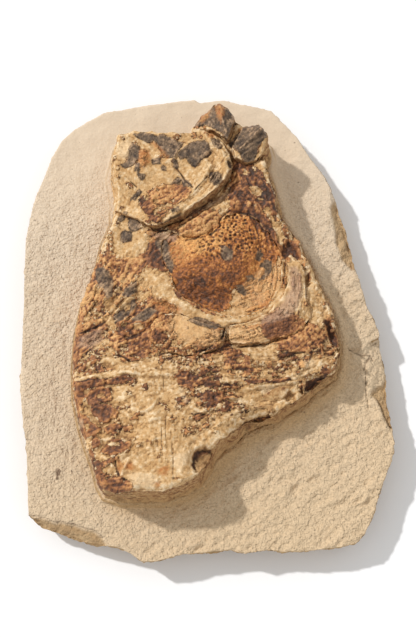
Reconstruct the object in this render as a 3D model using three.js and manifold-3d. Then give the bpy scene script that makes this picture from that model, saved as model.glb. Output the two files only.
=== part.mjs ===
// The head and shoulders of a fossil fish, lying on its side on a pale limestone slab.
// The slab lies flat on its underside. +Z is up, +Y runs from the broken body to the snout, and the
// origin is the centre of the slab's underside. All lengths are in millimetres.
import * as THREE from "three";
import { mergeVertices } from "three/addons/utils/BufferGeometryUtils.js";
import Module from "manifold-3d";

const wasm = await Module();
wasm.setup();

// ---------------------------------------------------------------- driving dimensions
const SLAB_THICKNESS = 22; // from the underside to the worked top face
const SEAT_GAP = 0.3; // between two pieces that touch
const SKY = 90; // a height above everything, where cutting solids end
const SLAB_STEP = 9; // spacing of the slab's facets
const BODY_STEP = 4.4; // spacing of the facets on the body
const BONE_STEP = 3.4; // spacing of the facets on single bones

// The slab's broken edge, seen from above, clockwise from the left of its head end: [x, y].
const SLAB_EDGE = [
  [-64, 134], [-40, 139], [-18, 142], [-7, 143], [-4, 141], [11, 143], [22, 140], [41, 136],
  [46, 130], [57, 118], [64, 105], [74, 91], [78, 82], [83, 67], [88, 49], [90, 34],
  [93, 25], [97, 9], [104, -7], [105, -17], [108, -27], [107, -42], [108, -53], [110, -66],
  [111, -73], [109, -84], [103, -98], [98, -113], [92, -126], [87, -132], [71, -135], [54, -137],
  [34, -136], [22, -138], [14, -136], [-12, -138], [-27, -142], [-36, -143], [-43, -138], [-52, -134],
  [-66, -133], [-81, -128], [-96, -122], [-103, -116], [-104, -98], [-105, -81], [-107, -67], [-111, -42],
  [-110, -18], [-110, 4], [-110, 30], [-110, 51], [-107, 72], [-102, 86], [-96, 103], [-90, 115],
  [-82, 123], [-74, 128],
];

// Flakes broken from the slab's upper edge: [x, y, depth below the top face at that corner].
const SLAB_CHIPS = [
  [[75, 80, 0], [77, 66, 0], [80, 54, 0], [84, 44, 0], [90, 32, 1], [99, 40, 16], [96, 66, 16], [86, 86, 12]],
  [[93, -16, 0], [94, -30, 0], [96, -44, 0], [102, -57, 0], [109, -72, 0], [120, -70, 14], [118, -20, 14],
    [108, -8, 8]],
  [[-88, -120, 0], [-80, -117, 0], [-66, -120, 0], [-55, -127, 0], [-46, -134, 0], [-50, -146, 16],
    [-96, -134, 16], [-104, -118, 5]],
  [[-106, -30, 0], [-107, -60, 0], [-103, -80, 0], [-112, -84, 12], [-118, -50, 12], [-114, -24, 6]],
];

// The upper edge of the fish, clockwise from the left of its snout:
// [x, y, height above the slab, how far the wall spreads at its foot].
const FISH_EDGE = [
  [-53, 106, 28, 3], [-42, 110, 29, 2], [-24, 108, 30, 2], [-8, 108, 31, 2], [-7, 114, 30, 2],
  [-2, 121, 32, 2], [8, 125, 33, 2], [14, 122, 32, 2], [19, 115, 31, 2], [26, 111, 31, 2],
  [31, 112, 34, 2], [36, 107, 36, 3], [36, 101, 35, 5], [33, 94, 33, 6], [37, 83, 33, 6],
  [40, 71, 33, 6], [42, 60, 32, 7], [47, 51, 31, 7], [54, 41, 29, 7], [59, 31, 28, 7],
  [65, 16, 28, 7], [71, 5, 28, 6], [75, -7, 26, 6], [77, -21, 25, 5], [76, -28, 24, 5],
  [74, -35, 24, 6], [64, -41, 24, 7], [56, -49, 24, 7], [41, -59, 24, 6], [30, -62, 24, 7],
  [21, -65, 24, 8], [16, -71, 26, 8], [9, -75, 28, 7], [3, -81, 31, 6], [0, -89, 34, 5],
  [-5, -97, 38, 4], [-14, -102, 41, 4], [-24, -105, 42, 4], [-36, -105, 42, 4], [-48, -106, 40, 3],
  [-57, -104, 37, 2], [-60, -99, 35, 2], [-63, -88, 33, 2], [-67, -78, 31, 2], [-71, -66, 30, 2],
  [-75, -49, 29, 2], [-76, -31, 27, 2], [-75, -12, 26, 2], [-72, 6, 26, 2], [-67, 19, 26, 2],
  [-63, 33, 26, 2], [-59, 47, 26, 3], [-54, 59, 26, 3], [-53, 73, 26, 4], [-56, 89, 27, 4],
];

// Height of the fish's upper surface above the slab where no bone stands out: [x, y, height].
const BODY_HEIGHTS = [
  [-50, 105, 26], [-10, 105, 27], [15, 104, 28], [34, 104, 32],
  [-56, 70, 24], [-25, 75, 27], [5, 75, 29], [38, 70, 31],
  [-62, 35, 25], [-40, 35, 27], [-15, 30, 27], [12, 30, 28], [35, 35, 28], [56, 35, 27],
  [-74, 0, 25], [-50, 0, 28], [-25, -10, 29], [10, -14, 28], [45, -14, 28], [74, -10, 25],
  [-76, -40, 27], [-50, -40, 31], [-20, -40, 31], [15, -40, 29], [50, -38, 25], [74, -30, 24],
  [-69, -70, 29], [-45, -70, 34], [-20, -72, 36], [5, -66, 31], [25, -58, 26], [46, -52, 24],
  [-56, -98, 36], [-35, -98, 40], [-15, -95, 39], [2, -82, 33],
];
const BODY_REACH = 15; // how far one of those heights is felt

// Ridges and furrows on the body: height (below 0 for a furrow), half width, then the line's points.
const BODY_RIDGES = [
  { rise: 3.6, reach: 4, line: [[-28, 14], [-14, 3], [-1, -5], [11, -9], [25, -8]] }, // rim round the gill cover
  { rise: 2.4, reach: 3.5, line: [[-26, 48], [-8, 52], [8, 60], [20, 66]] }, // jaw hinge and gill bars
  { rise: -2.5, reach: 3, line: [[-26, 50], [-8, 58], [10, 68], [17, 84]] }, // gap behind the snout
  { rise: -3, reach: 5, line: [[-52, 26], [-42, 20], [-34, 10]] }, // cheek hollow
  { rise: 2.2, reach: 3, line: [[-74, -42], [-50, -38], [-26, -34], [0, -33]] }, // seam above the scales
  { rise: 2, reach: 3, line: [[-70, -60], [-52, -54], [-34, -44]] }, // edges of large scales
  { rise: 2, reach: 3, line: [[-66, -80], [-52, -70], [-38, -58]] },
  { rise: 2, reach: 3, line: [[-58, -94], [-44, -86], [-30, -78]] },
  { rise: 2.4, reach: 3, line: [[18, -38], [44, -38], [68, -32]] }, // bundle of ribs
  { rise: -2, reach: 3, line: [[12, -48], [32, -50], [50, -46]] },
  { rise: 2.4, reach: 3, line: [[10, -28], [34, -26], [56, -20]] },
];

// Holes broken into the body: near its lower corner, and along its right edge.
const BODY_HOLES = [
  { x: -3, y: -86, reach: 6, depth: 9 },
  { x: 71, y: -14, reach: 4, depth: 6 },
  { x: 72, y: -22, reach: 4, depth: 5 },
  { x: 61, y: -43, reach: 5, depth: 5 },
  { x: 31, y: -61, reach: 6, depth: 5 },
  { x: 50, y: 43, reach: 4, depth: 4 },
];

// Bones that stand out: outline seen from above, height of the underside above the slab, and relief.
const SNOUT = {
  outline: [[-70, 120], [-16, 120], [-9, 110], [-3, 109], [4, 106], [9, 101], [14, 93], [14.5, 84], [11, 77], [4, 69],
    [-6, 62], [-16, 55], [-24, 51], [-31, 49], [-36, 53], [-41, 56], [-47, 59], [-54, 62], [-66, 64]],
  underside: 9,
  lift: 6,
  low: { x: -54, y: 58, reach: 26 }, // the corner where it meets the body level
  rim: { rise: 2, reach: 3, line: [[-24, 53], [-5, 64], [10, 78], [12, 92], [3, 102]] },
};
const GILL_COVER = {
  outline: [[-26, 43], [-18, 47], [-13, 43], [-6, 43], [3, 46], [8, 51], [12, 57], [19, 59], [27, 57], [33, 52],
    [39, 45], [44, 36], [45, 25], [44, 16], [40, 8], [34, 1], [26, -3], [16, -5], [6, -3], [-3, 1], [-11, 5],
    [-17, 11], [-21, 21], [-26, 31]],
  underside: 19,
  dome: { x: 5, y: 32, reachX: 30, reachY: 24, rise: 7 },
  valley: { rise: -3, reach: 12, line: [[38, 36], [34, 14], [18, 1], [-4, 4]] }, // between the dome and the shoulder
};
const SHOULDER_BONE = {
  outline: [[47, 31], [53, 30], [57, 23], [58, 12], [58, 4], [61, -4], [56, -11], [46, -16], [36, -19], [25, -21],
    [14, -20], [13.5, -10], [19, -9], [28, -7], [37, -2], [44, 6], [47.5, 16], [48.5, 25]],
  underside: 18,
  ridge: [[51, 29], [53, 14], [51, 2], [42, -9], [28, -14], [14, -15]],
  rise: 4.5,
  reach: 7,
};
const THROAT_PLATE = {
  outline: [[-31, -10], [-25, -4], [-15, -3], [-6, -7], [4, -10], [11.5, -13], [11, -19], [6, -24], [-3, -27],
    [-13, -28], [-24, -25], [-31, -20]],
  underside: 23,
  ridge: [[-28, -14], [-10, -15], [9, -17]],
  rise: 4.5,
  reach: 10,
};
const FRONT_SPINE = {
  outline: [[-9, 112], [-14, 118], [-3, 130], [10, 134], [20, 128], [17, 117], [15, 109], [13, 101], [9, 106], [4, 110],
    [-2, 112]],
  underside: 14,
  ridge: [[9, 125], [10, 115], [12, 100]],
  rise: 8,
  reach: 8,
};
const REAR_SPINE = {
  outline: [[15, 98], [18, 104], [24, 112], [26, 122], [44, 118], [46, 100], [34, 95.5], [30, 90.5], [23, 89],
    [18, 92]],
  underside: 13,
  ridge: [[34, 109], [27, 103], [19, 94]],
  rise: 6.5,
  reach: 7,
};

// The matrix left round the fish's foot, higher on the side away from the snout.
const COVE = { rise: 6, spread: 8 };

// ---------------------------------------------------------------- fields
const clamp01 = (t) => Math.min(1, Math.max(0, t));
const fade = (distance, reach) => Math.exp(-((distance / reach) ** 2));

// A repeatable number from 0 to 1 for a lattice point.
function hash(i, j) {
  const s = Math.sin(i * 127.1 + j * 311.7) * 43758.5453;
  return s - Math.floor(s);
}

// Smooth noise from -1 to 1, with lumps about `size` across.
function lumps(x, y, size) {
  const [i, j] = [Math.floor(x / size), Math.floor(y / size)];
  const ease = (t) => t * t * (3 - 2 * t);
  const [u, v] = [ease(x / size - i), ease(y / size - j)];
  const near = hash(i, j) * (1 - u) + hash(i + 1, j) * u;
  const far = hash(i, j + 1) * (1 - u) + hash(i + 1, j + 1) * u;
  return 2 * (near * (1 - v) + far * v) - 1;
}

function distanceToLine(x, y, line) {
  let best = Infinity;
  for (let k = 0; k + 1 < line.length; k++) {
    const [[ax, ay], [bx, by]] = [line[k], line[k + 1]];
    const [dx, dy] = [bx - ax, by - ay];
    const t = clamp01(((x - ax) * dx + (y - ay) * dy) / (dx * dx + dy * dy));
    best = Math.min(best, Math.hypot(x - ax - t * dx, y - ay - t * dy));
  }
  return best;
}

// Height of the body's surface above the slab, without single bones.
function smoothBody(x, y) {
  let [sum, weights] = [0, 1e-12];
  for (const [sx, sy, height] of BODY_HEIGHTS) {
    const weight = fade(Math.hypot(x - sx, y - sy), BODY_REACH) + 1e-6;
    sum += weight * height;
    weights += weight;
  }
  return sum / weights;
}

function bodyHeight(x, y) {
  let height = smoothBody(x, y) + 0.8 * lumps(x, y, 10) + 0.5 * lumps(x + 50, y, 5);
  for (const { rise, reach, line } of BODY_RIDGES) height += rise * fade(distanceToLine(x, y, line), reach);
  for (const hole of BODY_HOLES) height -= hole.depth * fade(Math.hypot(x - hole.x, y - hole.y), hole.reach);
  return height;
}

const snoutHeight = (x, y) => {
  const { low, rim } = SNOUT;
  const lift = SNOUT.lift * clamp01(Math.hypot(x - low.x, y - low.y) / low.reach);
  const crest = rim.rise * fade(distanceToLine(x, y, rim.line), rim.reach);
  return smoothBody(x, y) + lift + crest + 0.9 * lumps(x, y + 20, 10) + 0.5 * lumps(x, y, 5);
};

const gillCoverHeight = (x, y) => {
  const { dome, valley } = GILL_COVER;
  const out = Math.hypot((x - dome.x) / dome.reachX, (y - dome.y) / dome.reachY);
  const bulge = dome.rise * Math.max(0, 1 - out ** 2.5);
  const dip = valley.rise * fade(distanceToLine(x, y, valley.line), valley.reach);
  return smoothBody(x, y) - 1 + bulge + dip + 0.3 * lumps(x, y, 6);
};

// A bone with a rounded crest along its ridge line.
const crestedHeight = (bone) => (x, y) =>
  smoothBody(x, y) + bone.rise * fade(distanceToLine(x, y, bone.ridge), bone.reach) + 0.3 * lumps(x, y, 6);

const slabHeight = (x, y) => 0.5 * lumps(x, y, 40) + 0.45 * lumps(x + 9, y, 13);

// ---------------------------------------------------------------- solids
// Vertices as [x, y, z] and faces as triples of their indices, as a manifold-3d solid.
function solidFrom(vertices, faces) {
  return new wasm.Manifold(
    new wasm.Mesh({
      numProp: 3,
      vertProperties: new Float32Array(vertices.flat()),
      triVerts: new Uint32Array(faces.flat()),
    }),
  );
}

// A closed solid through rings of [x, y, z] points, counter-clockwise and from the lowest up.
function loft(rings) {
  const count = rings[0].length;
  const cap = THREE.ShapeUtils.triangulateShape(rings[0].map(([x, y]) => new THREE.Vector2(x, y)), []);
  const topCap = THREE.ShapeUtils.triangulateShape(rings.at(-1).map(([x, y]) => new THREE.Vector2(x, y)), []);
  const faces = cap.map(([a, b, c]) => [c, b, a]);
  for (let r = 0; r + 1 < rings.length; r++) {
    for (let k = 0; k < count; k++) {
      const [a, b] = [r * count + k, r * count + ((k + 1) % count)];
      faces.push([a, b, b + count], [a, b + count, a + count]);
    }
  }
  const last = (rings.length - 1) * count;
  for (const [a, b, c] of topCap) faces.push([a + last, b + last, c + last]);
  return solidFrom(rings.flat(), faces);
}

// An outline turned counter-clockwise.
const turned = (outline) => [...outline].reverse();
const signedArea = (outline) =>
  outline.reduce((sum, [x, y], k) => {
    const [nx, ny] = outline[(k + 1) % outline.length];
    return sum + (x * ny - nx * y) / 2;
  }, 0);
const counterClockwise = (outline) => (signedArea(outline) > 0 ? outline : turned(outline));

// How far each corner of a counter-clockwise outline goes when its sides move out by 1.
function outward(outline) {
  const normals = outline.map(([x, y], k) => {
    const [nx, ny] = outline[(k + 1) % outline.length];
    const length = Math.hypot(nx - x, ny - y);
    return [(ny - y) / length, (x - nx) / length];
  });
  return normals.map(([bx, by], k) => {
    const [ax, ay] = normals.at(k - 1);
    const scale = Math.min(2, 2 / ((ax + bx) ** 2 + (ay + by) ** 2));
    return [scale * (ax + bx), scale * (ay + by)];
  });
}

// A solid under the surface height(x, y), from z = floor, over a rectangle of facets.
function terrain(height, floor, [x0, y0, x1, y1], step) {
  const [columns, rows] = [Math.ceil((x1 - x0) / step), Math.ceil((y1 - y0) / step)];
  const wide = columns + 1;
  const vertices = [];
  for (const top of [false, true]) {
    for (let j = 0; j <= rows; j++) {
      for (let i = 0; i <= columns; i++) {
        const inside = i > 0 && j > 0 && i < columns && j < rows;
        const shift = inside ? 0.5 * step : 0;
        const x = x0 + i * step + shift * (hash(i, j) - 0.5);
        const y = y0 + j * step + shift * (hash(j + 7, i + 3) - 0.5);
        vertices.push([x, y, top ? height(x, y) : floor]);
      }
    }
  }
  const faces = [];
  const upper = wide * (rows + 1);
  const quad = (a, b, c, d) => faces.push([a, b, c], [a, c, d]);
  for (let j = 0; j < rows; j++) {
    for (let i = 0; i < columns; i++) {
      const a = j * wide + i;
      quad(a, a + wide, a + wide + 1, a + 1);
      quad(a + upper, a + 1 + upper, a + wide + 1 + upper, a + wide + upper);
    }
  }
  for (let i = 0; i < columns; i++) {
    const back = rows * wide + i;
    quad(i, i + 1, i + 1 + upper, i + upper);
    quad(back + 1, back, back + upper, back + 1 + upper);
  }
  for (let j = 0; j < rows; j++) {
    const [left, right] = [j * wide, j * wide + columns];
    quad(left + wide, left, left + upper, left + wide + upper);
    quad(right, right + wide, right + wide + upper, right + upper);
  }
  return solidFrom(vertices, faces);
}

// Everything over an outline, from each corner's own floor up. Spread moves its sides outwards.
function column(outline, floorAt, spread = 0) {
  const points = counterClockwise(outline);
  const away = outward(points);
  const moved = points.map(([x, y], k) => [x + spread * away[k][0], y + spread * away[k][1]]);
  return loft([moved.map(([x, y], k) => [x, y, floorAt(points[k])]), moved.map(([x, y]) => [x, y, SKY])]);
}

function boundsOf(outline, margin) {
  const [xs, ys] = [outline.map((p) => p[0]), outline.map((p) => p[1])];
  return [Math.min(...xs) - margin, Math.min(...ys) - margin, Math.max(...xs) + margin, Math.max(...ys) + margin];
}

// ---------------------------------------------------------------- the fish
const TOP = SLAB_THICKNESS;
const fishEdge = turned(FISH_EDGE);
const fishAway = outward(fishEdge);

// The space inside the fish's walls, which spread towards their foot in a hollow curve.
function fishWalls(spread, foot) {
  const ring = (share, flare) =>
    fishEdge.map(([x, y, height, foot_spread], k) => {
      const out = flare * foot_spread + spread;
      return [x + out * fishAway[k][0], y + out * fishAway[k][1], foot + share * (TOP + height - foot)];
    });
  return loft([ring(0, 1), ring(0.3, 0.4), ring(1, 0), ring(1, 0).map(([x, y]) => [x, y, SKY])]);
}

const walls = fishWalls(0, TOP + SEAT_GAP);
const BONES = [SNOUT, GILL_COVER, SHOULDER_BONE, THROAT_PLATE, FRONT_SPINE, REAR_SPINE];

function fishBody() {
  const surface = terrain((x, y) => TOP + bodyHeight(x, y), TOP - 1, boundsOf(FISH_EDGE, 9), BODY_STEP);
  return BONES.reduce(
    (body, bone) => body.subtract(column(bone.outline, () => TOP + bone.underside, SEAT_GAP / 2)),
    walls.intersect(surface),
  );
}

function boneSolid(bone, height) {
  const surface = terrain((x, y) => TOP + height(x, y), TOP, boundsOf(bone.outline, 5), BONE_STEP);
  const room = column(bone.outline, () => TOP + bone.underside + SEAT_GAP, -SEAT_GAP / 2);
  return walls.intersect(surface).intersect(room);
}

// ---------------------------------------------------------------- the slab
function slabSolid() {
  const edge = turned(SLAB_EDGE);
  const away = outward(edge);
  // Moves the broken edge in by `inset`, and in and out by up to `rough`.
  const ring = (z, inset, rough) =>
    edge.map(([x, y], k) => {
      const out = rough * (hash(k, z) - 0.5) - inset;
      return [x + out * away[k][0], y + out * away[k][1], z];
    });
  const sides = loft([ring(0, 5, 5), ring(0.3 * TOP, 2, 3), ring(0.75 * TOP, 0, 0), ring(SKY, 0, 0)]);
  const surface = terrain((x, y) => TOP + slabHeight(x, y), 0, boundsOf(SLAB_EDGE, 5), SLAB_STEP);
  const chipped = SLAB_CHIPS.reduce(
    (slab, chip) => slab.subtract(column(chip, ([, , depth]) => TOP + 1 - depth)),
    sides.intersect(surface),
  );
  const rim = (z, out) => fishEdge.map(([x, y, , spread], k) => {
    const reach = spread + out * (0.3 + spread / 8);
    return [x + reach * fishAway[k][0], y + reach * fishAway[k][1], z];
  });
  const cove = loft([rim(TOP - 3, COVE.spread), rim(TOP - 0.5, COVE.spread), rim(TOP + 0.25 * COVE.rise,
    0.45 * COVE.spread), rim(TOP + COVE.rise, 0)]);
  return chipped.add(cove).subtract(fishWalls(SEAT_GAP, TOP));
}

// ---------------------------------------------------------------- the model
const group = new THREE.Group();

function place(name, solid, color, roughness) {
  const { vertProperties, triVerts } = solid.getMesh();
  const geometry = new THREE.BufferGeometry();
  geometry.setAttribute("position", new THREE.BufferAttribute(new Float32Array(vertProperties), 3));
  geometry.setIndex(new THREE.BufferAttribute(new Uint32Array(triVerts), 1));
  const merged = mergeVertices(geometry, 1e-3);
  merged.computeVertexNormals();
  const mesh = new THREE.Mesh(merged, new THREE.MeshStandardMaterial({ color, roughness, metalness: 0 }));
  mesh.name = name;
  group.add(mesh);
}

place("matrix_slab", slabSolid(), 0xdcc6a2, 0.95);
place("fish_body", fishBody(), 0xa5713c, 0.65);
place("snout_and_jaw", boneSolid(SNOUT, snoutHeight), 0xc79b60, 0.7);
place("gill_cover", boneSolid(GILL_COVER, gillCoverHeight), 0xa9682c, 0.6);
place("shoulder_bone", boneSolid(SHOULDER_BONE, crestedHeight(SHOULDER_BONE)), 0x8a6a58, 0.55);
place("throat_plate", boneSolid(THROAT_PLATE, crestedHeight(THROAT_PLATE)), 0xc08c4e, 0.65);
place("front_spine", boneSolid(FRONT_SPINE, crestedHeight(FRONT_SPINE)), 0x55443a, 0.5);
place("rear_spine", boneSolid(REAR_SPINE, crestedHeight(REAR_SPINE)), 0x4b4038, 0.5);

export default group;
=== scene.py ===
"""Looks of the fossil fish on its limestone slab: dense stone meshes over the CAD solids, and materials.

Lengths are in millimetres until they go to Blender, which works in metres. Marks are given in the pixels
of a 416 x 638 picture taken from the scene's own camera, and are laid on what lies there. Lines and
outlines are lists x, y, x, y, ...; an outline closes itself.
"""

import math

import bmesh
import bpy
import numpy as np
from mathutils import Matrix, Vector
from mathutils.bvhtree import BVHTree


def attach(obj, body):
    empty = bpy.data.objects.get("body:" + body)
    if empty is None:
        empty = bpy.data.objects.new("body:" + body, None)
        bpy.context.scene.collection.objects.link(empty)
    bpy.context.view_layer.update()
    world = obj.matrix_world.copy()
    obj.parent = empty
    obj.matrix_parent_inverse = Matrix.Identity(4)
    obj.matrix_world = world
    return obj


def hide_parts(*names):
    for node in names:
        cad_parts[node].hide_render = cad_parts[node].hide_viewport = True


MM = 0.001
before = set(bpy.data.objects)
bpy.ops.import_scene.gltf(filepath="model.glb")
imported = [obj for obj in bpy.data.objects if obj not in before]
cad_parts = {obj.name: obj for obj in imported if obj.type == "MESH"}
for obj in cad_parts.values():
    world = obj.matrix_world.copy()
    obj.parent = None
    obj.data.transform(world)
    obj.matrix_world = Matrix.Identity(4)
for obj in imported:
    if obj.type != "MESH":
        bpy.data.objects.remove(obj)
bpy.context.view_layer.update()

# -------- camera, light and pieces
PICTURE = (416, 638)
LENS = 70.0
SENSOR = 36.0
CAMERA_AT = np.array([1.227, -179.04, 744.22])
TILT = math.radians(14)
FOCAL_PIXELS = LENS / SENSOR * PICTURE[1]
LOOK_UP = np.array([0, math.cos(TILT), math.sin(TILT)])
LOOK_BACK = np.array([0, -math.sin(TILT), math.cos(TILT)])

LIGHT_RUN = np.array([0.857, -0.515, -1.0])  # the way the sunlight travels
SUN_POWER = 2.35
SUN_WIDTH = math.radians(2.5)
SKY_POWER = 0.68
FLOOR_REACH = 3.0  # metres

SLAB_TOP = 22.0  # height of the slab's worked face
SLAB_CELL = 0.85  # size of the cells of the slab's mesh
SEAT_GAP = 0.3  # between pieces that touch
FISH_PIECES = {  # size of the mesh's cells, height of the seat above the slab, slot, roughness of bare bone
    "fish_body": (0.74, 0, "body_bone", 0.5),
    "snout_and_jaw": (0.55, 9, "snout_bone", 0.55),
    "gill_cover": (0.5, 19, "gill_cover_bone", 0.5),
    "shoulder_bone": (0.45, 18, "shoulder_bone", 0.42),
    "throat_plate": (0.45, 23, "throat_bone", 0.55),
    "front_spine": (0.42, 14, "spine_bone", 0.45),
    "rear_spine": (0.42, 13, "spine_bone", 0.45),
}


def picture_place(co):
    """Where points in mm show in the picture, in pixels: an array of [x, y]."""
    away = co - CAMERA_AT
    depth = -(away @ LOOK_BACK)
    x = PICTURE[0] / 2 + FOCAL_PIXELS * away[:, 0] / depth
    y = PICTURE[1] / 2 - FOCAL_PIXELS * (away @ LOOK_UP) / depth
    return np.stack([x, y], axis=1)


# -------- noise
RANDOM = np.random.default_rng(7)
SHUFFLE = np.tile(RANDOM.permutation(256), 2)
GRADIENTS = RANDOM.normal(size=(256, 3))
GRADIENTS /= np.linalg.norm(GRADIENTS, axis=1)[:, None]


def lattice(cell, corner):
    """A repeatable number from 0 to 255 for each lattice corner."""
    i, j, k = ((cell[:, n] + corner[n]) & 255 for n in range(3))
    return SHUFFLE[SHUFFLE[SHUFFLE[i] + j] + k]


def noise(points, size, seed):
    """Smooth noise from about -1 to 1 with lumps about size mm across."""
    p = points / size + seed * 17.31
    cell = np.floor(p).astype(np.int64)
    part = p - cell
    ease = part * part * part * (part * (part * 6 - 15) + 10)
    total = np.zeros(len(points))
    for corner in np.ndindex(2, 2, 2):
        offset = np.array(corner)
        weight = np.prod(np.where(offset == 1, ease, 1 - ease), axis=1)
        slope = GRADIENTS[lattice(cell, corner)]
        total += weight * np.einsum("ij,ij->i", slope, part - offset)
    return total * 1.6


def layered(points, size, octaves, seed, fall=0.5, shape=lambda n: n):
    """Noise with finer and finer layers on it, each first put through a shape."""
    return sum(fall**n * shape(noise(points, size / 2**n, seed + n)) for n in range(octaves))


def creased(points, size, octaves, seed):
    """Rounded lumps from 1 down to -1 in the sharp creases between them."""
    return np.clip(layered(points, size, octaves, seed, 0.6, lambda n: 2.6 * np.abs(n) - 0.8), -1, 1.5)


def wander(points, size, octaves, seeds, fall=0.5):
    """A wandering shift in x and y."""
    return np.stack([layered(points, size, octaves, seed, fall) for seed in seeds], 1)


def cells(points, size, seed):
    """Distance in cell sizes from each point to the nearest of scattered points."""
    p = points / size + seed * 5.7
    cell = np.floor(p).astype(np.int64)
    best = np.full(len(points), 9.0)
    for corner in np.ndindex(3, 3, 3):
        shift = np.array(corner) - 1
        spot = 0.5 + 0.45 * GRADIENTS[lattice(cell, shift)]
        best = np.minimum(best, np.linalg.norm(cell + shift + spot - p, axis=1))
    return best


def step(value, low, high):
    """0 below low, 1 above high, and an eased rise between."""
    t = np.clip((value - low) / (high - low), 0, 1)
    return t * t * (3 - 2 * t)


# -------- marks in the picture
FAR = 9.0  # pixels beyond which an outline isn't felt


def sides(line):
    """The two ends of each straight side of a line."""
    points = np.array(line, float).reshape(-1, 2)
    return zip(points[:-1], points[1:])


def to_line(uv, line, reach):
    """The places within reach of a line's box, and their distance from it and which side they are on."""
    points = np.array(line).reshape(-1, 2)
    boxed = (uv > points.min(0) - reach) & (uv < points.max(0) + reach)
    k = np.nonzero(np.all(boxed, axis=1))[0]
    best = np.full(len(k), 1e9)
    side = np.zeros(len(k))
    for a, b in sides(line):
        run = b - a
        t = np.clip((uv[k] - a) @ run / (run @ run), 0, 1)
        off = uv[k] - a - t[:, None] * run
        distance = np.linalg.norm(off, axis=1)
        closer = distance < best
        best[closer] = distance[closer]
        side[closer] = (run[0] * off[:, 1] - run[1] * off[:, 0])[closer]
    return k, best, np.sign(side)


def patch_depth(uv, patches):
    """How many pixels inside the nearest of some outlines each place is, below 0 outside."""
    depth = np.full(len(uv), -FAR)
    for outline in patches:
        closed = outline + outline[:2]
        k, distance, _ = to_line(uv, closed, FAR)
        x, y = uv[k].T
        inside = np.zeros(len(k), bool)
        for (ax, ay), (bx, by) in sides(closed):
            if ay != by:
                inside ^= ((ay > y) != (by > y)) & (x < ax + (y - ay) * (bx - ax) / (by - ay))
        depth[k] = np.maximum(depth[k], np.where(inside, distance, -distance))
    return depth


def line_strength(uv, lines):
    """From 0 to 1, how much each place is on one of some lines: [half width, ..., line]."""
    strength = np.zeros(len(uv))
    for width, *_, line in lines:
        k, distance, _ = to_line(uv, line, 3 * width)
        strength[k] = np.maximum(strength[k], np.exp(-((distance / width) ** 2)))
    return strength


def blended(uv, stations, reach):
    """Values between given stations [x, y, value, ...], each felt over reach pixels."""
    total = np.zeros((len(uv), len(stations[0]) - 2))
    weights = np.full(len(uv), 1e-9)
    for x, y, *values in stations:
        weight = np.exp(-((uv[:, 0] - x) ** 2 + (uv[:, 1] - y) ** 2) / reach**2) + 1e-6
        total += weight[:, None] * np.array(values)
        weights += weight
    return (total / weights[:, None]).T


# How the fish is covered, in hundredths: [x, y, bone against matrix, dark against ochre, roughness].
COVER = [
    [212, 118, 50, 55, 25], [250, 143, 50, 65, 25], [120, 152, 30, 50, 50], [160, 150, 30, 60, 50],
    [195, 170, 12, 50, 30], [148, 178, 4, 50, 25], [165, 195, 42, 10, 45], [130, 205, 15, 60, 50],
    [190, 190, 38, 30, 40], [215, 165, 15, 60, 80], [212, 190, 12, 50, 80], [235, 185, 85, 80, 60],
    [262, 190, 82, 90, 90], [272, 215, 50, 85, 70], [200, 215, 80, 30, 60], [160, 225, 60, 80, 60],
    [130, 240, 8, 50, 40], [108, 240, 60, 60, 70], [208, 244, 95, -25, 100], [238, 235, 95, 20, 95],
    [190, 250, 95, -50, 40], [205, 268, 95, 100, 50], [265, 225, 95, 45, 50], [228, 256, 97, 60, 60],
    [244, 268, 95, 35, 45], [190, 277, 95, 55, 45], [215, 292, 90, 30, 45], [222, 272, 95, 75, 45],
    [255, 285, 70, 20, 20], [235, 308, 30, 15, 25], [155, 255, 90, 75, 60], [155, 282, 20, 10, 40],
    [125, 262, 75, 10, 60], [95, 275, 64, 10, 80], [88, 310, 64, 10, 90], [120, 300, 56, 10, 100],
    [115, 335, 72, 45, 90], [150, 315, 85, 45, 90], [85, 345, 75, 35, 70], [125, 345, 78, 45, 80],
    [142, 340, 90, 75, 80], [162, 345, 75, 50, 70], [190, 330, 25, 15, 25], [210, 350, 70, 70, 80],
    [245, 333, 55, -10, 30], [280, 330, 85, 50, 40], [300, 335, 85, 75, 50], [293, 290, 35, 40, 10],
    [312, 302, 35, 40, 70], [318, 335, 70, 60, 80], [325, 355, 50, 70, 90], [232, 355, 50, 50, 90],
    [262, 353, 25, 25, 50], [290, 362, 50, 45, 80], [250, 372, 60, 65, 80], [280, 380, 26, 50, 70],
    [258, 394, 8, 60, 60], [285, 400, 15, 70, 70], [240, 412, 35, 65, 80], [190, 362, 60, 50, 80],
    [160, 360, 50, 50, 70], [115, 362, 45, 50, 60], [88, 366, 60, 55, 60], [205, 380, 65, 65, 80],
    [215, 400, 60, 65, 80], [185, 400, 35, 60, 70], [145, 385, 30, 60, 60], [120, 395, 22, 40, 60],
    [88, 390, 34, 30, 50], [95, 412, 28, 30, 50], [130, 412, 35, 40, 60], [155, 420, 14, 40, 60],
    [190, 425, 35, 50, 70], [215, 425, 50, 30, 60], [100, 440, 28, 30, 50], [130, 445, 25, 40, 50],
    [165, 455, 30, 30, 60], [185, 455, 5, 30, 30], [115, 470, 45, 60, 60], [150, 475, 6, 30, 30],
    [110, 485, 75, 75, 50], [220, 440, 15, 20, 40], [170, 470, 30, 20, 40],
]
COVER_REACH = 13  # pixels

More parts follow.
